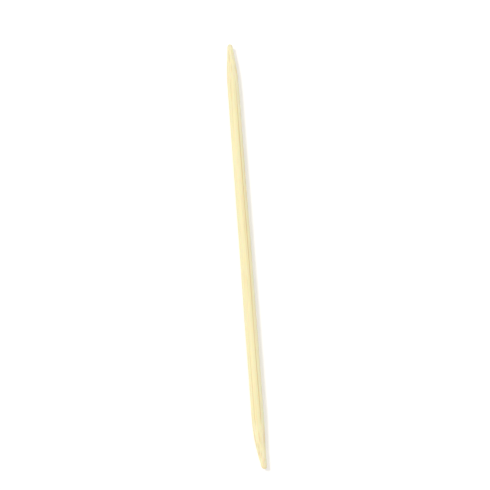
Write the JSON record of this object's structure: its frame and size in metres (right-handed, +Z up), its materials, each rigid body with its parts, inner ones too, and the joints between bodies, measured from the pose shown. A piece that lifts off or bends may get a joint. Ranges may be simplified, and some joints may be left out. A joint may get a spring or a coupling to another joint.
{
  "type": "toothpick",
  "caption": "Slim round bamboo toothpick with a straight shank and a ground, slightly blunted point at each end.",
  "frame": {"origin": "on the pick's own axis, at the middle of its length", "axes": "+X along the axis from tip to tip; the pick is round, so Y and Z are alike, with +Z up as it lies on a table 0.9 mm below the origin"},
  "size_m": [0.065, 0.0018, 0.0018],
  "materials": {
    "bamboo": "tumbled smooth, unvarnished"
  },
  "bodies": {
    "root": {"toothpick": "bamboo"}
  },
  "joints": []
}
